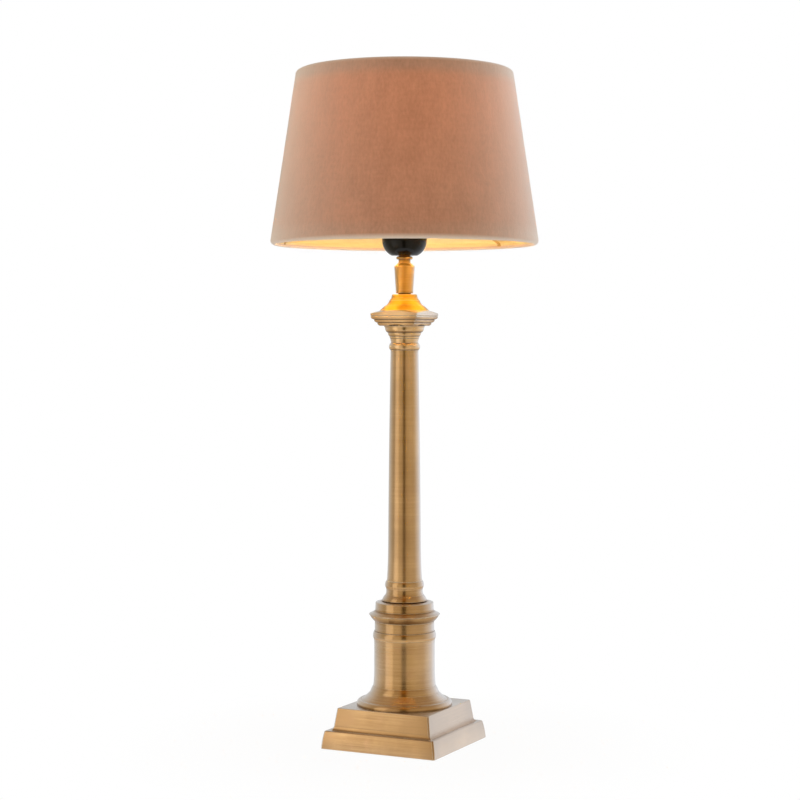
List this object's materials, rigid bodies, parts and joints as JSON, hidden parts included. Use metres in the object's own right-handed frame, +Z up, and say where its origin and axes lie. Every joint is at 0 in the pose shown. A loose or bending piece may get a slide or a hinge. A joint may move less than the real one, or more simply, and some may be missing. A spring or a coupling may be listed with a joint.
{
  "type": "column table lamp",
  "caption": "Table lamp with a square stepped plinth, a turned pedestal, a tapering round column with a square moulded capital, and a tapered fabric shade on a screw lampholder.",
  "frame": {"origin": "on the surface the lamp stands on, under the middle of the plinth", "axes": "+Z up along the column, -Y out of the front face of the plinth, +Y towards the cord outlet"},
  "size_m": [0.3, 0.3, 0.7555],
  "materials": {
    "antique_brass": "turned and brushed brass, aged brown, lacquered",
    "zinc_steel": "zinc plated",
    "felt": "wool felt",
    "cast_iron": "as cast, black",
    "grommet_black": "satin black",
    "black_holder": "glossy black",
    "holder_ceramic": "unglazed white",
    "contact_brass": "bright rolled brass",
    "frame_wire": "brass plated steel wire",
    "velvet": "short dusty-pink pile",
    "hem_tape": "rolled pile hem, paler at its edge",
    "gold_liner": "gold foil on a plastic sheet",
    "bulb_cap_metal": "rolled screw cap",
    "bulb_tip_solder": "tinned",
    "bulb_black_glass": "black insulating glass",
    "bulb_clear_glass": "clear bulb glass",
    "bulb_lead_wire": "nickel wire",
    "bulb_glow": "lit filament"
  },
  "bodies": {
    "lamp": {"plinth": "antique_brass", "base_plate": "zinc_steel", "base_felt": "felt", "plate_screws": "zinc_steel", "ballast": "cast_iron", "base_washer": "zinc_steel", "base_nut": "zinc_steel", "threaded_tube": "zinc_steel", "cord_grommet": "grommet_black", "pedestal": "antique_brass", "pedestal_disc": "antique_brass", "column_base": "antique_brass", "column_shaft": "antique_brass", "neck_ring": "antique_brass", "capital": "antique_brass", "abacus": "antique_brass", "cap": "antique_brass", "spindle": "antique_brass", "lock_ring": "antique_brass", "holder_dome": "black_holder", "holder_insert": "holder_ceramic", "terminals": "contact_brass", "terminal_screws": "contact_brass", "centre_contact": "contact_brass", "thread_shell": "contact_brass", "holder_skirt": "black_holder"},
    "lower_ring": {"lower_shade_ring": "black_holder"},
    "upper_ring": {"upper_shade_ring": "black_holder"},
    "shade": {"fitter_ring": "frame_wire", "spider_arms": "frame_wire", "bottom_wire_ring": "frame_wire", "top_wire_ring": "frame_wire", "bottom_hem": "hem_tape", "top_hem": "hem_tape", "shade_cover": "velvet", "shade_liner": "gold_liner"},
    "bulb_foot": {"bulb_tip": "bulb_tip_solder", "bulb_insulator": "bulb_black_glass"},
    "bulb": {"bulb_cap": "bulb_cap_metal", "bulb_glass": "bulb_clear_glass", "bulb_stem": "bulb_clear_glass", "bulb_leads": "bulb_lead_wire", "bulb_filament": "bulb_glow"}
  },
  "joints": [
    {"name": "shade_height", "type": "slide", "parent": "lamp", "child": "lower_ring", "axis": [0, 0, 1], "range_m": [0, 0.0075]},
    {"name": "ring_turn", "type": "hinge", "parent": "lower_ring", "child": "upper_ring", "pos_m": [0, 0, 0.588], "axis": [0, 0, 1], "range_deg": [0, 1080]},
    {"name": "shade_turn", "type": "hinge", "parent": "lower_ring", "child": "shade", "pos_m": [0, 0, 0.584], "axis": [0, 0, 1], "continuous": true},
    {"name": "bulb_travel", "type": "slide", "parent": "lamp", "child": "bulb_foot", "axis": [0, 0, 1], "range_m": [0, 0.0218]},
    {"name": "bulb_turn", "type": "hinge", "parent": "bulb_foot", "child": "bulb", "pos_m": [0, 0, 0.59], "axis": [0, 0, 1], "range_deg": [0, 2160]}
  ],
  "couplings": [
    {"joint": "ring_turn", "follows": "shade_height", "rad_per_m": 2513.3},
    {"joint": "bulb_travel", "follows": "bulb_turn", "m_per_rad": 0.00057757}
  ]
}
